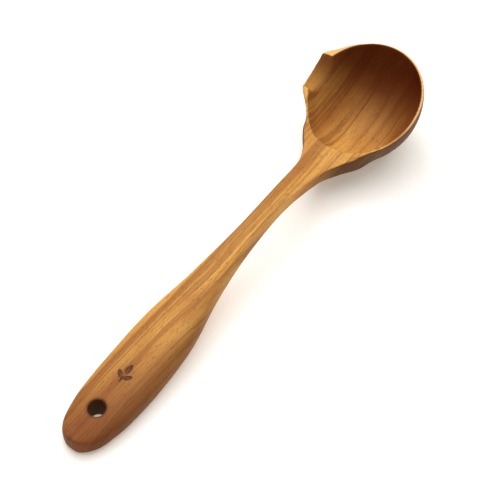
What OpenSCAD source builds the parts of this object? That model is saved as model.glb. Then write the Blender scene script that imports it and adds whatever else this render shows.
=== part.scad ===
// Wooden serving ladle carved from one straight-grained billet: an oval bowl with a
// pouring lip on its left side, an arched slim neck, and a wide soft grip with a
// drilled hanging hole and a small mark burned into its top.
// The handle runs along Y with the bowl at +Y, the lip points to -X, +Z is up, and
// the ladle lies on Z = 0 on the bowl's belly and the grip's underside.

/* [Overall] */
// Length from the grip's end to the far side of the bowl
ladle_l = 302; // [285:1:315]

/* [Bowl] */
// Length of the hollow at the rim, along the handle
hollow_l = 71.6; // [66:0.2:76]
// Width of the hollow at the rim, across the handle
hollow_w = 65.4; // [60:0.2:70]
// Thickness of the rim
rim_t = 1.5; // [1.2:0.1:3]
// Height of the bowl's outside, from the rim plane to the belly
bowl_h = 38.7; // [34:0.1:42]
// Thickness of the wood at the bottom of the bowl
floor_t = 2.8; // [2.4:0.1:5]
// Tilt of the rim plane, far side up
rim_tilt = 17.2; // [14:0.1:20]

/* [Pouring lip] */
// Radius of the scooped channel
channel_r = 12.1; // [10:0.1:13]
// Slope of the channel's floor, rising outwards
channel_slope = 38; // [32:1:44]
// Distance of the channel from the middle of the bowl, away from the handle
channel_at = 1.6; // [0:0.1:3]
// Reach of the lip from the middle of the bowl
lip_reach = 39.6; // [38:0.1:41]
// Radius of the lip's outer face, seen from above
lip_face_r = 26; // [22:1:32]

/* [Grip and neck] */
// Greatest width of the grip
grip_w = 34.2; // [31:0.2:37]
// Greatest thickness of the grip
grip_t = 17; // [15:0.5:19]
// Smallest width of the neck
neck_w = 11; // [10:0.2:13]
// Height of the arched neck's top above the table
arch_h = 31.6; // [29:0.2:33]

/* [Hanging hole] */
// Diameter of the drilled hole
hole_d = 9.5; // [8:0.5:11]
// Distance of the hole's middle from the grip's end
hole_at = 22; // [19:0.5:25]

/* [Burned mark] */
// Length of the leaf sprig
mark_l = 12; // [9:0.5:14]
// Depth of the charred wood
mark_depth = 0.6; // [0.5:0.1:0.8]
// Distance of the mark's middle from the grip's end
mark_at = 46; // [42:0.5:52]

/* [Hidden] */

wood = [0.80, 0.56, 0.30];
char = [0.30, 0.16, 0.08];

// Smooth curve through stations [place, value], with level ends
function slope(s, i) =
    i == 0 || i == len(s) - 1 ? 0 : (s[i + 1][1] - s[i - 1][1]) / (s[i + 1][0] - s[i - 1][0]);
function span(s, y, i = 0) = i >= len(s) - 2 || y < s[i + 1][0] ? i : span(s, y, i + 1);
function ease(a, b, ma, mb, h, t) =
    a * (1 + 2 * t) * pow(1 - t, 2) + ma * h * t * pow(1 - t, 2)
    + b * t * t * (3 - 2 * t) + mb * h * t * t * (t - 1);
function along(s, y) =
    let (i = span(s, y), h = s[i + 1][0] - s[i][0], t = min(1, max(0, (y - s[i][0]) / h)))
    ease(s[i][1], s[i + 1][1], slope(s, i), slope(s, i + 1), h, t);

// Bowl: middle of the rim plane, and the outside's half sizes
outer_l = hollow_l / 2 + rim_t;
outer_w = hollow_w / 2 + rim_t;
bowl_y = ladle_l - norm([outer_l * cos(rim_tilt), bowl_h * sin(rim_tilt)]);
bowl_z = norm([outer_l * sin(rim_tilt), bowl_h * cos(rim_tilt)]);
hollow_h = bowl_h - floor_t;
function rim_z(y) = bowl_z + (y - bowl_y) * tan(rim_tilt);

// Middle of the footprint, which becomes the origin
lip_world_x = -lip_reach;
mid_x = (outer_w + lip_world_x) / 2;
mid_y = ladle_l / 2;

// Half width of the handle, from the grip's end to inside the bowl
side_line = [
    [0, 0.375 * grip_w], [12, 0.4 * grip_w], [27, 0.474 * grip_w], [52, grip_w / 2],
    [83, 0.46 * grip_w], [113, 0.9 * neck_w], [143, 0.565 * neck_w], [174, neck_w / 2],
    [199, 0.62 * neck_w], [214, 0.79 * neck_w], [224, 1.2 * neck_w], [236, outer_w - 13],
    [248, outer_w - 14]
];
// Top of the handle, rising to the arch, dipping before the bowl and joining its rim plane
top_line = [
    [0, 11.6], [22, 14.3], [42, 16.7], [62, 19.2], [83, 22.4], [103, 26.1], [123, 29],
    [144, arch_h - 1], [172, arch_h], [188, arch_h - 0.8], [204, arch_h - 3.2],
    [219, 26.6], [230, rim_z(230)], [242, rim_z(242)], [252, rim_z(252)]
];
// Thickness of the handle
depth_line = [
    [0, 11], [12, 12.7], [30, 0.88 * grip_t], [52, grip_t], [111, grip_t + 0.6],
    [132, grip_t - 0.8], [152, 14], [173, 11.4], [194, 10.4], [213, 11.4], [226, 14],
    [238, 17], [252, 18]
];
// How square the section is, on its upper and lower halves: 2 is an ellipse
upper_line = [[0, 3.1], [72, 2.9], [112, 3.8], [152, 7], [252, 9]];
lower_line = [[0, 3.4], [62, 3.1], [112, 2.8], [172, 3.2], [214, 2.6], [252, 2.1]];

// The grip's end is rounded off over these lengths, seen from above and from the side
end_l = 16;
end_h = 1.5;
end_power = 2.15;
end_tip = 0.01;
function round_end(y, l) = y >= l ? 1 : pow(1 - pow(1 - y / l, end_power), 1 / end_power);

function half_width(y) = along(side_line, y) * round_end(y, end_l);
function half_depth(y) = along(depth_line, y) / 2 * round_end(y, end_h);
function mid_height(y) = along(top_line, y) - along(depth_line, y) / 2;

ring_n = 32;
end_steps = 6;
handle_end = 248;
handle_steps = 44;
stations = concat(
    [end_tip],
    [for (i = [1 : end_steps]) end_l * (1 - cos(90 * i / end_steps))],
    [for (i = [1 : handle_steps]) end_l + (handle_end - end_l) * i / handle_steps]
);

function signed_power(v, p) = sign(v) * pow(abs(v), p);
function ring(y) =
    let (w = half_width(y), h = half_depth(y), m = mid_height(y))
    [for (k = [0 : ring_n - 1])
        let (
            a = 360 * (k + 0.5) / ring_n,
            p = 2 / (a < 180 ? along(upper_line, y) : along(lower_line, y))
        )
        [w * signed_power(cos(a), p), y, m + h * signed_power(sin(a), p)]
    ];

// Solid through rings of points, closed at both ends with a middle point
module skin(rings) {
    n = len(rings[0]);
    last = len(rings) - 1;
    first_tip = len(rings) * n;
    points = concat(
        [for (r = rings) each r],
        [mean(rings[0]), mean(rings[last])]
    );
    polyhedron(points, concat(
        [for (j = [0 : last - 1], k = [0 : n - 1])
            let (a = j * n + k, b = j * n + (k + 1) % n) each [[a, b, b + n], [a, b + n, a + n]]],
        [for (k = [0 : n - 1]) [first_tip, (k + 1) % n, k]],
        [for (k = [0 : n - 1]) [first_tip + 1, last * n + k, last * n + (k + 1) % n]]
    ), convexity = 4);
}
function mean(ps) = [for (i = [0 : 2]) [for (p = ps) p[i]] * [for (p = ps) 1 / len(ps)]];

module handle() skin([for (y = stations) ring(y)]);

// Half bowl below the rim plane, in the bowl's own frame: X across, Y along, Z off the rim
bowl_n = 60;
bowl_steps = 14;
module half_bowl(w, l, h, above = 0) {
    rings = [for (j = [0 : bowl_steps - 1])
        let (a = 90 * j / bowl_steps)
        [for (k = [0 : bowl_n - 1])
            [w * cos(a) * cos(360 * k / bowl_n), l * cos(a) * sin(360 * k / bowl_n), -h * sin(a)]]
    ];
    raised = [for (p = rings[0]) [p[0], p[1], above]];
    skin(above > 0 ? concat([raised], rings) : rings);
}

module in_bowl_frame() translate([0, bowl_y, bowl_z]) rotate([rim_tilt, 0, 0]) children();

// Wood that stands out for the lip: a rounded face between two slanting sides
lip_wall_h = 10.5;
lip_face_x = lip_face_r - lip_reach;
lip_near = 11.6;
lip_far = 13;
lip_root_near = 20;
lip_root_far = 22;
lip_root_x = -27;
lip_foot = [-20, 2, -16];
lip_foot_r = 8;
function face_angle(u) = asin((u - channel_at * 2) / lip_face_r);
lip_outline = concat(
    [[-10, -lip_root_near], [lip_root_x, -lip_root_near]],
    [for (i = [0 : 10])
        let (a = face_angle(-lip_near) + (face_angle(lip_far) - face_angle(-lip_near)) * i / 10)
        [lip_face_x - lip_face_r * cos(a), channel_at * 2 + lip_face_r * sin(a)]],
    [[lip_root_x - 2, lip_root_far], [-10, lip_root_far]]
);
module lip_block() hull() {
    translate([0, 0, -lip_wall_h]) linear_extrude(lip_wall_h) polygon(lip_outline);
    translate(lip_foot) sphere(r = lip_foot_r, $fn = 24);
}

// The channel's axis climbs outwards through this place above the bowl's left wall
channel_x = -29.9;
channel_z = 0.6;
channel_in = 20;
channel_out = 40;
module channel() translate([channel_x, channel_at, channel_z]) rotate([0, channel_slope - 90, 0])
    translate([0, 0, -channel_in]) cylinder(r = channel_r, h = channel_in + channel_out, $fn = 96);

module carved_blank() difference() {
    union() {
        handle();
        in_bowl_frame() {
            half_bowl(outer_w, outer_l, bowl_h);
            lip_block();
        }
    }
    in_bowl_frame() {
        half_bowl(hollow_w / 2, hollow_l / 2, hollow_h, above = 20);
        channel();
    }
}

module hanging_hole() translate([0, hole_at, -1]) cylinder(d = hole_d, h = 30, $fn = 96);

// Three leaves on a stem, seen from above
leaf_l = mark_l * 0.46;
leaf_w = leaf_l * 0.46;
stem_w = 0.9;
module leaf() intersection_for (side = [-1, 1])
    translate([side * (leaf_l * leaf_l / 4 / leaf_w - leaf_w / 4), leaf_l / 2])
        circle(r = leaf_l * leaf_l / 4 / leaf_w + leaf_w / 4, $fn = 96);
module sprig() {
    translate([-stem_w / 2, -mark_l / 2]) square([stem_w, mark_l * 0.6]);
    translate([0, mark_l / 2 - leaf_l]) leaf();
    for (side = [-1, 1]) translate([0, -mark_l / 2 + mark_l * 0.22]) rotate(-side * 48) leaf();
}
mark_station = 2;
module mark_stamp() translate([0, mark_at, along(top_line, mark_at)])
    rotate([atan(slope(top_line, mark_station)), 0, 0])
        translate([0, 0, -mark_depth]) linear_extrude(5) sprig();

module in_part_frame() translate([-mid_x, -mid_y, 0]) children();

module spoon() color(wood) in_part_frame() difference() {
    carved_blank();
    hanging_hole();
    mark_stamp();
}

module burned_mark() color(char) in_part_frame() intersection() {
    handle();
    mark_stamp();
}

spoon();
burned_mark();
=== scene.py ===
import math

import bmesh
import bpy
import numpy as np
from mathutils import Matrix, Vector


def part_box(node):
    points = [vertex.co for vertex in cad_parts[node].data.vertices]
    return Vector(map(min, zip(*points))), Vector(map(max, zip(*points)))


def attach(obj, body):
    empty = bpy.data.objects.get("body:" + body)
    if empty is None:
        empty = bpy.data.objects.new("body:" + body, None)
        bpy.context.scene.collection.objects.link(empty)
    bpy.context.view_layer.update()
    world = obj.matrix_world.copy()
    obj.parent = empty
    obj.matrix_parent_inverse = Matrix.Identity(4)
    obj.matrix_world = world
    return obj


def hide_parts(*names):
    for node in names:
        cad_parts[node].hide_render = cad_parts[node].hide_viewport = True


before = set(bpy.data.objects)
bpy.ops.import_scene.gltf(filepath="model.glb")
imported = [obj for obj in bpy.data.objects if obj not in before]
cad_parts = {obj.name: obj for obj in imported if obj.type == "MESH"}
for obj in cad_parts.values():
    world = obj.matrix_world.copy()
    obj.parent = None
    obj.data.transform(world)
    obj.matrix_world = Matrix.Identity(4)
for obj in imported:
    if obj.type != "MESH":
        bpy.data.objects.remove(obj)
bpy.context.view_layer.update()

MM = 0.001

# ---------------------------------------------------------------- driving sizes, in millimetres
# The carver's frame: x across from the middle of the handle, y from the grip's end
# towards the bowl, z up from the table.
LADLE_LENGTH = 302.0

# The bowl: a fullness of 2 is an ellipse from the side, and less is leaner
HOLLOW_LENGTH = 71.6
HOLLOW_WIDTH = 65.4
HOLLOW_SHIFT = -0.5
HOLLOW_FULLNESS = 1.95
OUTSIDE_FULLNESS = 1.88
RIM = 1.5
BOWL_HEIGHT = 38.7
FLOOR_THICKNESS = 2.8
RIM_TILT = math.radians(17.2)

# The flattened left shoulder of the bowl: places are (across, along) on the rim plane
SHOULDER_START = (-34.8, -10.0)
SHOULDER_END = (-20.0, -30.0)
SHOULDER_WALL = 1.25
SHOULDER_EASE = 4.0

# The pouring lip, and the channel carved through it
LIP_REACH = 39.6
LIP_FACE_RADIUS = 26.0
LIP_FACE_AT = 3.2
LIP_NEAR_CORNER = (-35.2, -12.8)
LIP_NEAR_ROOT = (-27.0, -20.0)
LIP_FAR_CORNER = (-38.8, 13.0)
LIP_FAR_ROOT = (-29.0, 22.0)
LIP_INNER_END = -20.0
LIP_WALL = 11.0
LIP_TAPER = 0.45
LIP_TAPER_FROM = 1.5
LIP_FOOT = (-22.0, -25.0)
CHANNEL_RADIUS = 12.1
CHANNEL_SLOPE = math.radians(38.0)
CHANNEL_AT = 1.6
CHANNEL_WALL_PLACE = (-29.9, 0.6)
CHANNEL_RUN = 20.0

# The handle
GRIP_WIDTH = 34.2
GRIP_THICKNESS = 17.0
NECK_WIDTH = 11.0
ARCH_HEIGHT = 31.6
HANDLE_START = 0.01
HANDLE_END = 248.0
END_LENGTH = 16.0
END_HEIGHT = 1.5
END_POWER = 2.15

# The hanging hole, whose radius narrows by the taper for each millimetre down, and the mark
HOLE_DIAMETER = 9.5
HOLE_AT = 22.0
HOLE_TOP = 14.3
HOLE_TAPER = 0.022
MARK_AT = 46.0
MARK_LENGTH = 12.0

# How far the edges are sanded round
TOP_EASE = 0.7
HOLLOW_EASE = 0.75
HOLE_EASE = 0.9
HOLE_UNDER_EASE = 0.35
LIP_NEAR_EASE = 0.9
LIP_FAR_EASE = 0.7
LIP_UNDER_EASE = 4.0
CHANNEL_FILLET = 0.8

OUTER_WIDTH = HOLLOW_WIDTH / 2 + RIM
OUTER_LENGTH = HOLLOW_LENGTH / 2 + RIM
HOLLOW_HEIGHT = BOWL_HEIGHT - FLOOR_THICKNESS
TILT_COS, TILT_SIN = math.cos(RIM_TILT), math.sin(RIM_TILT)
BOWL_Y = LADLE_LENGTH - math.hypot(OUTER_LENGTH * TILT_COS, BOWL_HEIGHT * TILT_SIN)
BOWL_Z = math.hypot(OUTER_LENGTH * TILT_SIN, BOWL_HEIGHT * TILT_COS)


def rim_z(y):
    return BOWL_Z + (y - BOWL_Y) * TILT_SIN / TILT_COS


# Stations along the handle: [distance from the grip's end, value]
SIDE_LINE = [
    [0, 0.375 * GRIP_WIDTH], [12, 0.4 * GRIP_WIDTH], [27, 0.474 * GRIP_WIDTH],
    [52, GRIP_WIDTH / 2], [83, 0.46 * GRIP_WIDTH], [113, 0.9 * NECK_WIDTH],
    [143, 0.565 * NECK_WIDTH], [174, NECK_WIDTH / 2], [199, 0.62 * NECK_WIDTH],
    [214, 0.79 * NECK_WIDTH], [224, 1.2 * NECK_WIDTH], [236, OUTER_WIDTH - 13],
    [248, OUTER_WIDTH - 14],
]
TOP_LINE = [
    [0, 11.6], [22, 14.3], [42, 16.7], [62, 19.2], [83, 22.4], [103, 26.1], [123, 29],
    [144, ARCH_HEIGHT - 1], [172, ARCH_HEIGHT], [188, ARCH_HEIGHT - 0.8],
    [204, ARCH_HEIGHT - 3.2], [219, 26.6], [230, rim_z(230)], [242, rim_z(242)],
    [252, rim_z(252)],
]
RIM_FROM = 241
DEPTH_LINE = [
    [0, 11], [12, 12.7], [30, 0.88 * GRIP_THICKNESS], [52, GRIP_THICKNESS],
    [111, GRIP_THICKNESS + 0.6], [132, GRIP_THICKNESS - 0.8], [152, 14], [173, 11.4],
    [194, 10.4], [213, 11.4], [226, 14], [238, 17], [252, 18],
]
UPPER_SQUARENESS = [[0, 3.1], [72, 2.9], [112, 3.8], [152, 7], [252, 9]]
LOWER_SQUARENESS = [[0, 3.4], [62, 3.1], [112, 2.8], [172, 3.2], [214, 2.6], [252, 2.1]]
TOP_CLEARANCE = [[0, 3], [207, 3], [224, 0]]

# Fillets where the lip and the neck meet the bowl: [height off the rim plane, radius]
LIP_FILLET = [[-24, 10], [-7, 6], [0, 2.5]]
NECK_FILLET = [[-30, 10], [-18, 9], [-5, 3], [0, 3]]


def along(stations, y):
    """Smooth curve through stations of [place, value], with level ends."""
    place, value = np.array(stations, float).T
    slope = np.zeros(len(place))
    slope[1:-1] = (value[2:] - value[:-2]) / (place[2:] - place[:-2])
    i = np.clip(np.searchsorted(place, y, side="right") - 1, 0, len(place) - 2)
    span = place[i + 1] - place[i]
    t = np.clip((y - place[i]) / span, 0, 1)
    start = value[i] * (1 + 2 * t) * (1 - t) ** 2 + slope[i] * span * t * (1 - t) ** 2
    end = value[i + 1] * t * t * (3 - 2 * t) + slope[i + 1] * span * t * t * (t - 1)
    return start + end


# ---------------------------------------------------------------- carving with distances
# Each shape below returns how far a point is outside it, in millimetres, negative inside.
# The least values keep divisions and roots away from zero.
LEAST_STEEP = 1e-6
LEAST_RADIUS = 1e-3
LEAST_END = 1e-9


def fillet_join(a, b, radius):
    """Two shapes joined with a fillet in the corner between them."""
    corner = np.hypot(np.maximum(radius - a, 0), np.maximum(radius - b, 0))
    return np.maximum(radius, np.minimum(a, b)) - corner


def eased_common(a, b, radius):
    """What two shapes share, with the edge between them sanded round."""
    edge = np.hypot(np.maximum(radius + a, 0), np.maximum(radius + b, 0))
    return np.minimum(-radius, np.maximum(a, b)) + edge


def eased_cut(shape, tool, radius):
    """The shape with the tool's space carved away, with a sanded edge."""
    return eased_common(shape, -tool, radius)


def squared_oval(a, b, half_a, half_b, power):
    """An oval section: power 2 is an ellipse, more is squarer."""
    qa = np.abs(a) / half_a
    qb = np.abs(b) / half_b
    r = np.maximum(qa ** power + qb ** power, LEAST_STEEP) ** (1 / power)
    steep_a = (qa / r) ** (power - 1) / half_a
    steep_b = (qb / r) ** (power - 1) / half_b
    return (r - 1) / np.maximum(np.hypot(steep_a, steep_b), LEAST_STEEP)


def egg(across, lengthwise, depth, half_width, half_length, height, fullness):
    """Half an egg, open above depth 0: fullness 2 is an ellipse from the side, less is leaner."""
    round_r = np.maximum(np.hypot(across / half_width, lengthwise / half_length), LEAST_RADIUS)
    deep = np.maximum(-depth, 0) / height
    q = (round_r ** fullness + deep ** fullness) ** (1 / fullness)
    share = (round_r / q) ** (fullness - 1) / round_r
    steep = np.sqrt(
        (share * across / half_width ** 2) ** 2
        + (share * lengthwise / half_length ** 2) ** 2
        + ((deep / q) ** (fullness - 1) / height) ** 2
    )
    return (q - 1) / np.maximum(steep, LEAST_STEEP)


def side_plane(a, b, start, end):
    """Distance outside the straight side from start to end, the shape on its right."""
    da, db = end[0] - start[0], end[1] - start[1]
    length = math.hypot(da, db)
    return ((b - start[1]) * da - (a - start[0]) * db) / length


def round_end(y, length):
    """Share of the full width, rounding in over the handle's last length."""
    left = np.maximum(1 - y / length, 0)
    return np.maximum(1 - left ** END_POWER, LEAST_END) ** (1 / END_POWER)


def top_height(y):
    return np.where(y < RIM_FROM, along(TOP_LINE, y), rim_z(y))


def handle_half_width(y):
    return along(SIDE_LINE, y) * round_end(y, END_LENGTH)


def handle_half_depth(y):
    return along(DEPTH_LINE, y) / 2 * round_end(y, END_HEIGHT)


def handle_middle(y):
    return along(TOP_LINE, y) - along(DEPTH_LINE, y) / 2


def handle(x, y, z):
    place = np.clip(y, HANDLE_START, HANDLE_END)
    middle = handle_middle(place)
    power = np.where(z > middle, along(UPPER_SQUARENESS, place), along(LOWER_SQUARENESS, place))
    round_side = squared_oval(
        x, z - middle, handle_half_width(place), handle_half_depth(place), power
    )
    return np.maximum(round_side, np.maximum(-y, y - HANDLE_END))


def bowl_frame(y, z):
    """Along the rim plane and off it, from the middle of the bowl's rim."""
    dy, dz = y - BOWL_Y, z - BOWL_Z
    return dy * TILT_COS + dz * TILT_SIN, dz * TILT_COS - dy * TILT_SIN


def bowl_outside(x, u, n):
    bowl = egg(x, u, n, OUTER_WIDTH, OUTER_LENGTH, BOWL_HEIGHT, OUTSIDE_FULLNESS)
    return eased_common(bowl, side_plane(x, u, SHOULDER_END, SHOULDER_START), SHOULDER_EASE)


def bowl_hollow(x, u, n):
    hollow = egg(
        x - HOLLOW_SHIFT, u, n, HOLLOW_WIDTH / 2, HOLLOW_LENGTH / 2, HOLLOW_HEIGHT,
        HOLLOW_FULLNESS,
    )
    shoulder = side_plane(x, u, SHOULDER_END, SHOULDER_START) + SHOULDER_WALL
    return eased_common(hollow, shoulder, SHOULDER_EASE)


def lip(x, u, n):
    face_x = LIP_FACE_RADIUS - LIP_REACH
    face = np.hypot(x - face_x, u - LIP_FACE_AT) - LIP_FACE_RADIUS
    taper = LIP_TAPER * np.maximum(-n - LIP_TAPER_FROM, 0)
    near = side_plane(x, u, LIP_NEAR_ROOT, LIP_NEAR_CORNER) + taper
    far = side_plane(x, u, LIP_FAR_CORNER, LIP_FAR_ROOT) + taper
    under = side_plane(x, n, LIP_FOOT, (-LIP_REACH, -LIP_WALL))
    body = eased_common(eased_common(face, near, LIP_NEAR_EASE), far, LIP_FAR_EASE)
    return np.maximum(eased_common(body, under, LIP_UNDER_EASE), x - LIP_INNER_END)


def channel(x, u, n):
    wall_x, wall_n = CHANNEL_WALL_PLACE
    c, s = math.cos(CHANNEL_SLOPE), math.sin(CHANNEL_SLOPE)
    across = (x - wall_x) * s + (n - wall_n) * c
    outward = -(x - wall_x) * c + (n - wall_n) * s
    gouge = np.hypot(across, u - CHANNEL_AT) - CHANNEL_RADIUS
    return np.maximum(gouge, -CHANNEL_RUN - outward)


def ladle(x, y, z):
    u, n = bowl_frame(y, z)
    blank = fillet_join(bowl_outside(x, u, n), lip(x, u, n), along(LIP_FILLET, n))
    blank = fillet_join(blank, handle(x, y, z), along(NECK_FILLET, n))
    top = (z - top_height(y) - along(TOP_CLEARANCE, y)) * TILT_COS
    blank = eased_common(blank, top, TOP_EASE)
    scooped = fillet_join(bowl_hollow(x, u, n), channel(x, u, n), CHANNEL_FILLET)
    carved = eased_cut(blank, scooped, HOLLOW_EASE)
    hole = np.hypot(x, y - HOLE_AT) - HOLE_DIAMETER / 2 + HOLE_TAPER * (HOLE_TOP - z)
    return eased_cut(carved, hole, np.where(z > HOLE_TOP / 2, HOLE_EASE, HOLE_UNDER_EASE))


# ---------------------------------------------------------------- skin over a carved shape
SLOWEST_GROWTH = 0.05
LONGEST_MOVE = 0.6
EVENING_SHARE = 0.5


def steepest(shape, points, reach=0.02):
    """Direction and rate of the shape's growth at each point."""
    growth = np.empty_like(points)
    for axis in range(3):
        step = np.zeros(3)
        step[axis] = reach
        growth[:, axis] = (shape(*(points + step).T) - shape(*(points - step).T)) / (2 * reach)
    return growth


def settle(shape, points, rounds=4):
    """Moves points onto the shape's surface."""
    for _ in range(rounds):
        growth = steepest(shape, points)
        rate = np.maximum((growth ** 2).sum(1), SLOWEST_GROWTH)
        move = np.clip(shape(*points.T) / rate, -LONGEST_MOVE, LONGEST_MOVE)
        points = points - growth * move[:, None]
    return points


def fill_crossed_corners(inside):
    """Fills grid faces that are inside across one diagonal only, so that no four quads share
    an edge."""
    found = True
    while found:
        found = False
        for axis in range(3):
            layer = np.moveaxis(inside, axis, 0)
            a, b = layer[:, :-1, :-1], layer[:, 1:, :-1]
            c, d = layer[:, :-1, 1:], layer[:, 1:, 1:]
            crossed = (a & d & ~b & ~c) | (b & c & ~a & ~d)
            found = found or crossed.any()
            for corner in (a, b, c, d):
                corner |= crossed


def skin(shape, axes, evening_rounds=8):
    """Closed quad mesh over the shape: one point in each grid cell that the surface crosses.
    Axes are the places of the grid's planes."""
    grid = np.meshgrid(*axes, indexing="ij", sparse=True)
    inside = shape(*grid) < 0
    fill_crossed_corners(inside)
    filled = sum(
        inside[i:i - 1 or None, j:j - 1 or None, k:k - 1 or None].astype(np.int8)
        for i in (0, 1) for j in (0, 1) for k in (0, 1)
    )
    crossed = (filled > 0) & (filled < 8)
    cells = np.argwhere(crossed)
    number = np.full(crossed.shape, -1)
    number[crossed] = np.arange(len(cells))
    points = np.stack([(axes[i][cells[:, i]] + axes[i][cells[:, i] + 1]) / 2 for i in range(3)], 1)
    quads = []
    for a in range(3):
        b, c = (a + 1) % 3, (a + 2) % 3
        turned = np.moveaxis(inside, (a, b, c), (0, 1, 2))
        cell = np.moveaxis(number, (a, b, c), (0, 1, 2))
        here, there = turned[:-1, 1:-1, 1:-1], turned[1:, 1:-1, 1:-1]
        i, j, k = np.nonzero(here != there)
        ring = np.stack(
            [cell[i, j, k], cell[i, j + 1, k], cell[i, j + 1, k + 1], cell[i, j, k + 1]], 1
        )
        leaving = here[i, j, k]
        quads.append(np.where(leaving[:, None], ring, ring[:, ::-1]))
    quads = np.concatenate(quads)
    points = settle(shape, points)
    start = quads.ravel()
    end = np.roll(quads, -1, axis=1).ravel()
    count = np.bincount(start, minlength=len(points)) + np.bincount(end, minlength=len(points))
    for _ in range(evening_rounds):
        total = np.stack([
            np.bincount(start, points[end, i], len(points))
            + np.bincount(end, points[start, i], len(points))
            for i in range(3)
        ], 1)
        evened = points + EVENING_SHARE * (total / count[:, None] - points)
        points = settle(shape, evened, rounds=2)
    return points, quads


# Planes of the carving grid across, along and up: fine at the hole and the bowl, and coarser
# along the plain handle
FINE_STEP = 0.62
LONG_STEP = 1.5
GRID_PLANES = [
    np.arange(-42, 38, FINE_STEP),
    np.concatenate([
        np.arange(-2, 31, FINE_STEP),
        np.arange(31, 206, LONG_STEP),
        np.arange(206, 305, FINE_STEP),
    ]),
    np.arange(-2, 54, FINE_STEP),
]


def quad_mesh(name, points, faces):
    """A mesh of these points, in metres, and faces."""
    mesh = bpy.data.meshes.new(name)
    mesh.from_pydata(points.tolist(), [], [list(map(int, face)) for face in faces])
    mesh.validate()
    return mesh


def add_piece(name, mesh):
    """A new object in the scene, with this mesh."""
    piece = bpy.data.objects.new(name, mesh)
    bpy.context.scene.collection.objects.link(piece)
    return piece


spoon_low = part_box("spoon")[0]
FRAME_SHIFT = np.array([spoon_low.x / MM + LIP_REACH, spoon_low.y / MM, 0.0])


def in_frame(points):
    """Points of the carver's frame, in the part's own frame and in metres."""
    return (points + FRAME_SHIFT) * MM


# ---------------------------------------------------------------- the burned sprig
def grip_top(x, y):
    """Height of the grip's upper face."""
    power = along(UPPER_SQUARENESS, y)
    share = 1 - np.abs(x / handle_half_width(y)) ** power
    return handle_middle(y) + handle_half_depth(y) * np.maximum(share, 0) ** (1 / power)


# Leaves: [base x, base y, direction in degrees from the grip's length, length, half width]
SPRIG = [
    [0.0, -6.2, 0.0, 5.0, 0.5],
    [0.0, -0.4, 0.0, 6.6, 1.55],
    [-0.75, -3.4, 44.0, 5.4, 1.3],
    [0.75, -3.4, -44.0, 5.4, 1.3],
]
LEAF_STEPS = 14
LEAF_FROM, LEAF_TO = 0.03, 0.97
LEAF_TIP_WIDTH = 0.12

# Sections of a leaf: [share of the half width, added width, height over the wood]
RECESS_RING = [(-1, -0.10, 1.2), (-1, 0.10, -0.45), (1, -0.10, -0.45), (1, 0.10, 1.2)]
CHAR_RING = [
    (-1, 0.14, -0.9), (-1, 0.14, -0.36), (-0.6, 0.0, -0.30), (0, 0.0, -0.25),
    (0.6, 0.0, -0.30), (1, -0.14, -0.36), (1, -0.14, -0.9),
]


def leaf(base_x, base_y, direction, length, half_width, ring):
    """Closed pointed solid in the grip's top, with the ring as its section."""
    turn = math.radians(direction)
    points = []
    for place in np.linspace(LEAF_FROM, LEAF_TO, LEAF_STEPS):
        wide = half_width * math.sin(math.pi * place ** 0.85) ** 0.8 + LEAF_TIP_WIDTH
        for share, added, height in ring:
            across = share * wide + added
            ahead = place * length
            x = base_x + across * math.cos(turn) - ahead * math.sin(turn)
            y = MARK_AT + base_y + across * math.sin(turn) + ahead * math.cos(turn)
            points.append((x, y, grip_top(x, y) + height))
    n = len(ring)
    faces = [
        (row * n + i, row * n + (i + 1) % n, row * n + n + (i + 1) % n, row * n + n + i)
        for row in range(LEAF_STEPS - 1) for i in range(n)
    ]
    faces.append(tuple(reversed(range(n))))
    faces.append(tuple(range((LEAF_STEPS - 1) * n, LEAF_STEPS * n)))
    return np.array(points, float), faces


def sprig(name, ring):
    """All the leaves and the stem, each as its own closed solid."""
    points, faces = [], []
    for entry in SPRIG:
        leaf_points, leaf_faces = leaf(*entry, ring)
        start = sum(map(len, points))
        faces += [tuple(start + i for i in face) for face in leaf_faces]
        points.append(leaf_points)
    mesh = quad_mesh(name, in_frame(np.concatenate(points)), faces)
    work = bmesh.new()
    work.from_mesh(mesh)
    bmesh.ops.recalc_face_normals(work, faces=work.faces)
    work.to_mesh(mesh)
    work.free()
    return add_piece(name, mesh)


# ---------------------------------------------------------------- the carved ladle
def carve_ladle():
    """The whole ladle, with the mark's recess cut into its grip."""
    points, quads = skin(ladle, GRID_PLANES)
    piece = add_piece("carved_ladle", quad_mesh("carved_ladle", in_frame(points), quads))
    stamp = sprig("stamp", RECESS_RING)
    recess = piece.modifiers.new("recess", "BOOLEAN")
    recess.operation = "DIFFERENCE"
    recess.solver = "EXACT"
    recess.object = stamp
    ready = piece.evaluated_get(bpy.context.evaluated_depsgraph_get())
    cut = bpy.data.meshes.new_from_object(ready)
    piece.modifiers.clear()
    piece.data = cut
    bpy.data.objects.remove(stamp)
    shade_by_shape(cut)
    return piece


# Least cosine between a face and the carved shape's own direction, to be shaded as one
SAME_SIDE = 0.75


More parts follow.
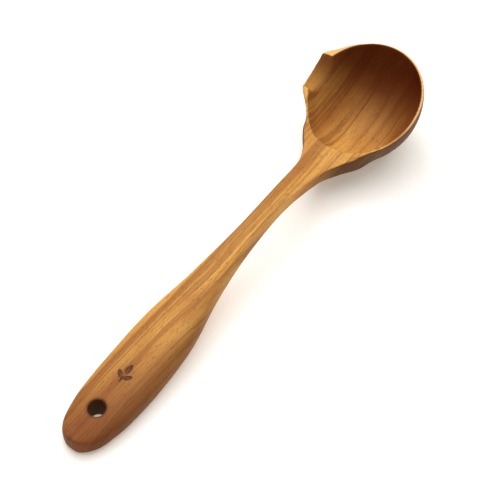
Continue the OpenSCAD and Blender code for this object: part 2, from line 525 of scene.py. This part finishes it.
def shade_by_shape(mesh):
    """Smooth shading that follows the carved shape, and flat where the mark is cut in."""
    count = len(mesh.vertices)
    place = np.empty(count * 3)
    mesh.vertices.foreach_get("co", place)
    place = place.reshape(-1, 3) / MM - FRAME_SHIFT
    growth = steepest(ladle, place)
    growth /= np.linalg.norm(growth, axis=1)[:, None]
    corner_point = np.empty(len(mesh.loops), int)
    mesh.loops.foreach_get("vertex_index", corner_point)
    sides = np.empty(len(mesh.polygons), int)
    mesh.polygons.foreach_get("loop_total", sides)
    face_normal = np.empty(len(mesh.polygons) * 3)
    mesh.polygons.foreach_get("normal", face_normal)
    corner_face = np.repeat(face_normal.reshape(-1, 3), sides, axis=0)
    smooth = growth[corner_point]
    by_mark = np.hypot(place[:, 0], place[:, 1] - MARK_AT) < MARK_LENGTH
    alike = (smooth * corner_face).sum(1) > SAME_SIDE
    agrees = ~by_mark[corner_point] | alike
    normals = np.where(agrees[:, None], smooth, corner_face)
    mesh.polygons.foreach_set("use_smooth", np.ones(len(sides), bool))
    mesh.normals_split_custom_set(normals.tolist())


# ---------------------------------------------------------------- materials
class Value:
    """A value that varies over a surface, so that sums on it read as Python."""

    def __init__(self, finish, socket):
        self.finish = finish
        self.socket = socket

    def sum(self, operation, *terms):
        return self.finish.node(
            "ShaderNodeMath", {"operation": operation}, dict(enumerate(terms))
        )

    def __add__(self, other):
        return self.sum("ADD", self, other)

    def __radd__(self, other):
        return self.sum("ADD", other, self)

    def __sub__(self, other):
        return self.sum("SUBTRACT", self, other)

    def __rsub__(self, other):
        return self.sum("SUBTRACT", other, self)

    def __mul__(self, other):
        return self.sum("MULTIPLY", self, other)

    def __pow__(self, other):
        return self.sum("POWER", self, other)

    def eased(self, low, high):
        """0 at low, 1 at high, smooth between them and level outside."""
        return self.finish.node(
            "ShaderNodeMapRange", {"interpolation_type": "SMOOTHSTEP"},
            {"Value": self, "From Min": low, "From Max": high},
        )


class Finish:
    """One material, with its nodes made by node()."""

    def __init__(self, name):
        self.material = bpy.data.materials.new(name)
        self.material.use_nodes = True
        self.tree = self.material.node_tree
        self.shader = self.tree.nodes["Principled BSDF"]

    def node(self, kind, settings, inputs, output=0):
        made = self.tree.nodes.new(kind)
        for setting, choice in settings.items():
            setattr(made, setting, choice)
        for socket, value in inputs.items():
            self.feed(made.inputs[socket], value)
        return Value(self, made.outputs[output])

    def feed(self, socket, value):
        if isinstance(value, Value):
            self.tree.links.new(value.socket, socket)
        else:
            socket.default_value = value

    def place(self):
        """Place on the object, in millimetres."""
        metres = self.node("ShaderNodeTexCoord", {}, {}, "Object")
        return self.scaled(metres, (1 / MM,) * 3)

    def combined(self, operation, *vectors, output=0):
        """Vector arithmetic. Output 1 is the plain number of a dot product."""
        return self.node(
            "ShaderNodeVectorMath", {"operation": operation}, dict(enumerate(vectors)), output
        )

    def scaled(self, vector, by):
        return self.combined("MULTIPLY", vector, by)

    def parts(self, vector):
        """Its x, y and z."""
        return [self.node("ShaderNodeSeparateXYZ", {}, {0: vector}, i) for i in range(3)]

    def vector(self, x, y, z):
        return self.node("ShaderNodeCombineXYZ", {}, {0: x, 1: y, 2: z})

    def noise(self, vector, detail=2.0, roughness=0.5):
        return self.node(
            "ShaderNodeTexNoise", {},
            {"Vector": vector, "Scale": 1.0, "Detail": detail, "Roughness": roughness},
        )

    def mix(self, first, second, share):
        return self.node(
            "ShaderNodeMix", {"data_type": "RGBA"}, {0: share, 6: first, 7: second}, 2
        )

    def bump(self, height, depth_mm, strength):
        relief = self.node(
            "ShaderNodeBump", {},
            {"Height": height, "Distance": depth_mm * MM, "Strength": strength},
        )
        self.feed(self.shader.inputs["Normal"], relief)


def color(red, green, blue):
    """A linear colour from 0 to 255 display values."""
    def linear(level):
        level /= 255
        return level / 12.92 if level <= 0.04045 else ((level + 0.055) / 1.055) ** 2.4
    return linear(red), linear(green), linear(blue), 1.0


RING_TILT = math.radians(-22)
GRIP_END_Y = spoon_low.y / MM

HONEY = color(214, 156, 76)
AMBER = color(196, 136, 62)
PALE_STREAK = color(236, 184, 100)
BROWN_STREAK = color(142, 86, 38)
FIBRE_BROWN = color(136, 80, 36)
LATE_WOOD = color(118, 66, 28)
PORE_BROWN = color(84, 46, 20)
CLOUD_BROWN = color(164, 100, 44)
# Darker browns towards the grip's end
GRIP_END_BROWN = color(120, 58, 20)
GRIP_END_STREAK = color(84, 44, 18)
# Painted shade for the grip's right side
SIDE_SHADE_BROWN = color(98, 52, 20)
# A slight burn round the hanging hole, and painted shade in it
HOLE_BURN_AND_SHADE = color(56, 30, 14)
SCORCH = color(110, 62, 28)
# Painted shade in the bowl's hollow
HOLLOW_SHADE_RED = color(98, 36, 10)
# Painted highlight on the rim
RIM_HIGHLIGHT = color(236, 192, 128)
# Painted shade on the bowl's outer walls
WALL_SHADE_BROWN = color(80, 46, 26)
CHAR_DARK = color(78, 42, 20)
CHAR_LIGHT = color(124, 74, 36)


def grip_tones_and_shade(wood, tone, place, cloud, figure, streaks):
    """Darker towards the grip's end, painted shade on its right side, a burn with painted shade
    round and in the hanging hole, and scorch round the mark.
    """
    x, y, _ = wood.parts(place)
    from_end = y - GRIP_END_Y + (cloud - 0.5) * 40
    hole_x = x - FRAME_SHIFT[0]
    # Darker towards the grip's end and less so near its left edge, with darker streaks there.
    grip_end_darkening = from_end.eased(100, 4) * (0.3 + (hole_x - from_end * 0.25).eased(-26, -4) * 0.7)
    tone = wood.mix(tone, GRIP_END_BROWN, grip_end_darkening * 0.85)
    tone = wood.mix(tone, GRIP_END_STREAK, streaks.eased(0.44, 0.7) * grip_end_darkening * 0.5)

    # Painted shade along the grip's right side, which faces away from the light.
    right_side_shade = (hole_x + (figure - 0.5) * 14).eased(2, 15) * from_end.eased(150, 90)
    tone = wood.mix(tone, SIDE_SHADE_BROWN, right_side_shade * 0.55)

    # A slight burn round the hanging hole's rim, and painted shade on the hole's walls, where the
    # darkening is full.
    hole_y = y - (GRIP_END_Y + HOLE_AT)
    from_hole = (hole_x * hole_x + hole_y * hole_y) ** 0.5
    burn_and_hole_shade = from_hole.eased(HOLE_DIAMETER / 2 + 2.2, HOLE_DIAMETER / 2)
    tone = wood.mix(tone, HOLE_BURN_AND_SHADE, burn_and_hole_shade * 0.65)
    mark_y = (y - (GRIP_END_Y + MARK_AT)) * 0.75
    from_mark = (hole_x * hole_x + mark_y * mark_y) ** 0.5
    return wood.mix(tone, SCORCH, from_mark.eased(8.5, 2.0) * 0.25)


def bowl_shade_and_highlight(wood, tone, place, cloud):
    """A slightly darker hollow with painted shade in it, a painted highlight on the rim, and
    painted shade on the outer walls.
    """
    middle = tuple(FRAME_SHIFT + np.array([HOLLOW_SHIFT, BOWL_Y, BOWL_Z]))
    from_rim = wood.combined("SUBTRACT", place, middle)
    across, along_y, up = wood.parts(from_rim)
    u = (along_y * TILT_COS + up * TILT_SIN) * (2 / HOLLOW_LENGTH)
    across = across * (2 / HOLLOW_WIDTH)
    facing = wood.node("ShaderNodeNewGeometry", {}, {}, "Normal")
    from_middle = wood.combined("NORMALIZE", from_rim)
    outward = wood.combined("DOT_PRODUCT", from_middle, facing, output=1)
    by_bowl = along_y.eased(-68, -38)

    # Painted shade in the hollow: light at a spot near the handle and a little left, darker away
    # from it and towards the far and right walls, over a slight darkening of the whole hollow.
    from_light = ((u + 0.9) * (u + 0.9) + (across + 0.3) * (across + 0.3)) ** 0.5
    hollow_shade = 0.1 + (from_light + (cloud - 0.5) * 0.6).eased(0.35, 1.6) * 0.5
    hollow_shade = hollow_shade + u.eased(0.0, 0.9) * 0.32 + across.eased(0.1, 0.9) * 0.14
    tone = wood.mix(tone, HOLLOW_SHADE_RED, outward.eased(0.0, -0.3) * by_bowl * hollow_shade)

    # Painted highlight: a pale band on the top of the rim, over its far half.
    rim_edge = up * TILT_COS - along_y * TILT_SIN
    rim_highlight = rim_edge.eased(-1.4, -0.2) * outward.eased(-0.3, 0.0) * u.eased(-0.5, 0.1)
    tone = wood.mix(tone, RIM_HIGHLIGHT, rim_highlight * 0.6)
    # Painted shade on the bowl's steep outer walls, darker as they turn further down.
    steep_wall_shade = wood.parts(facing)[2].eased(0.8, 0.45) * outward.eased(-0.05, 0.2)
    return wood.mix(tone, WALL_SHADE_BROWN, steep_wall_shade * by_bowl * 0.9)


def oiled_wood():
    wood = Finish("oiled_wood_grain")
    place = wood.place()
    x, y, z = wood.parts(place)
    sway = wood.noise(wood.scaled(place, (0.014, 0.005, 0.014)), 2.0) - 0.5
    curl = wood.noise(wood.scaled(place, (0.08, 0.03, 0.08)), 3.0) - 0.5
    ring = x * math.cos(RING_TILT) + z * math.sin(RING_TILT) + sway * 22 + curl * 2.4

    figure = wood.noise(wood.vector(ring * 0.12, y * 0.003, 4.0), 3.0)
    growth = wood.noise(wood.vector(ring * 0.15, y * 0.002, 9.0), 1.5) - 0.5
    late_wood = growth.eased(-0.07, 0.0) * (1 - growth.eased(0.0, 0.03))
    streaks = wood.noise(wood.vector(ring * 0.75, y * 0.008, 2.0), 5.0, 0.66)
    fibre = wood.noise(wood.vector(ring * 2.6, y * 0.05, 6.0), 3.0, 0.6)
    pores = wood.noise(wood.scaled(place, (2.2, 0.15, 2.2)), 2.0).eased(0.6, 0.7)
    cloud = wood.noise(wood.scaled(place, (0.05, 0.026, 0.05)), 3.0)

    tone = wood.mix(HONEY, AMBER, figure.eased(0.36, 0.66))
    tone = wood.mix(tone, LATE_WOOD, late_wood * 0.5)
    tone = wood.mix(tone, BROWN_STREAK, streaks.eased(0.5, 0.78) * 0.8)
    tone = wood.mix(tone, PALE_STREAK, streaks.eased(0.46, 0.24) * 0.5)
    tone = wood.mix(tone, FIBRE_BROWN, fibre.eased(0.52, 0.74) * 0.45)
    tone = wood.mix(tone, PORE_BROWN, pores * 0.45)
    tone = wood.mix(tone, CLOUD_BROWN, cloud.eased(0.42, 0.72) * 0.5)
    tone = grip_tones_and_shade(wood, tone, place, cloud, figure, streaks)
    tone = bowl_shade_and_highlight(wood, tone, place, cloud)

    wood.feed(wood.shader.inputs["Base Color"], tone)
    wood.feed(wood.shader.inputs["Roughness"], 0.46 + streaks * 0.22 + pores * 0.12)
    wood.shader.inputs["Specular IOR Level"].default_value = 0.16
    relief = streaks * 0.5 + fibre * 0.35 + late_wood * 0.35 - pores * 0.9 + cloud * 0.6
    wood.bump(relief, 0.14, 0.8)
    return wood.material


def charred_wood():
    char = Finish("charred_grain")
    place = char.place()
    grain = char.noise(char.scaled(place, (2.2, 0.5, 2.2)), 4.0, 0.6)
    tone = char.mix(CHAR_DARK, CHAR_LIGHT, grain.eased(0.4, 0.7))
    char.feed(char.shader.inputs["Base Color"], tone)
    char.feed(char.shader.inputs["Roughness"], 0.6 + grain * 0.3)
    char.shader.inputs["Specular IOR Level"].default_value = 0.25
    char.bump(grain, 0.15, 0.8)
    return char.material


def pale_floor():
    paper = Finish("pale_floor")
    paper.shader.inputs["Base Color"].default_value = (0.8, 0.8, 0.8, 1.0)
    paper.shader.inputs["Roughness"].default_value = 0.9
    paper.shader.inputs["Emission Color"].default_value = WARM_WHITE
    paper.shader.inputs["Emission Strength"].default_value = 0.3
    paper.shader.inputs["Specular IOR Level"].default_value = 0.1
    return paper.material


# ---------------------------------------------------------------- floor, lights, camera
FLOOR_HALF = 0.75
WARM_WHITE = (1.0, 0.88, 0.7, 1.0)
WHITE = (1.0, 1.0, 1.0, 1.0)

# The camera: angles in radians, lens and distances in millimetres
VIEW_TURN = math.radians(36.68)
VIEW_TILT = math.radians(52.68)
VIEW_DISTANCE = 945.2
VIEW_OFFSET = (1.356, -6.386)
VIEW_MIDDLE_Y = 153.8
VIEW_LENS = 120.8


def view_axes():
    """The camera's right, up and backward directions in the part's frame."""
    c, s = math.cos(VIEW_TURN), math.sin(VIEW_TURN)
    low, high = math.cos(VIEW_TILT), math.sin(VIEW_TILT)
    right = Vector((c, s, 0))
    up = Vector((-s * high, c * high, low))
    back = Vector((s * low, -c * low, high))
    return right, up, back


def set_camera():
    right, up, back = view_axes()
    middle = Vector((FRAME_SHIFT[0], VIEW_MIDDLE_Y + FRAME_SHIFT[1], 0)) * MM
    eye = back * VIEW_DISTANCE - right * VIEW_OFFSET[0] - up * VIEW_OFFSET[1]
    lens = bpy.data.cameras.new("camera")
    lens.lens = VIEW_LENS
    lens.clip_start = 0.01
    camera = bpy.data.objects.new("camera", lens)
    turned = Matrix((right, up, back)).transposed().to_4x4()
    camera.matrix_world = Matrix.Translation(middle + eye * MM) @ turned
    bpy.context.scene.collection.objects.link(camera)
    bpy.context.scene.camera = camera


def soft_light(name, side, ahead, height, size, power):
    """Square soft light aimed at the ladle, with places in metres. Side and ahead are as the
    camera sees them."""
    right = view_axes()[0]
    away = Vector((-right.y, right.x, 0))
    lamp = bpy.data.lights.new(name, "AREA")
    lamp.size = size
    lamp.energy = power
    light = bpy.data.objects.new(name, lamp)
    light.location = right * side + away * ahead + Vector((0, 0, height))
    light.rotation_euler = light.location.to_track_quat("Z", "Y").to_euler()
    bpy.context.scene.collection.objects.link(light)


def set_world(lighting, backdrop):
    """Even light of strength lighting, with a backdrop that looks brighter."""
    world = bpy.data.worlds.new("studio")
    world.use_nodes = True
    nodes, links = world.node_tree.nodes, world.node_tree.links
    sky = nodes["Background"]
    sky.inputs["Strength"].default_value = lighting
    sky.inputs["Color"].default_value = WHITE
    seen = nodes.new("ShaderNodeBackground")
    seen.inputs["Strength"].default_value = backdrop
    seen.inputs["Color"].default_value = WHITE
    path = nodes.new("ShaderNodeLightPath")
    choose = nodes.new("ShaderNodeMixShader")
    links.new(path.outputs["Is Camera Ray"], choose.inputs[0])
    links.new(sky.outputs[0], choose.inputs[1])
    links.new(seen.outputs[0], choose.inputs[2])
    links.new(choose.outputs[0], nodes["World Output"].inputs[0])
    bpy.context.scene.world = world


ladle_piece = carve_ladle()
ladle_piece.data.materials.append(oiled_wood())
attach(ladle_piece, "root")
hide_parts("spoon")

sprig_piece = sprig("burned_sprig", CHAR_RING)
sprig_piece.data.materials.append(charred_wood())
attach(sprig_piece, "root")
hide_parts("burned_mark")

floor_points = np.array([(-1, -1, 0), (1, -1, 0), (1, 1, 0), (-1, 1, 0)]) * FLOOR_HALF
floor = add_piece("floor", quad_mesh("floor", floor_points, [(0, 1, 2, 3)]))
floor.data.materials.append(pale_floor())

set_world(lighting=0.22, backdrop=1.0)
soft_light("overhead_light", side=0.1, ahead=0.3, height=1.35, size=1.9, power=29.0)
soft_light("back_light", side=-0.6, ahead=1.0, height=1.4, size=1.2, power=11.0)
set_camera()
bpy.context.scene.view_settings.view_transform = "Standard"
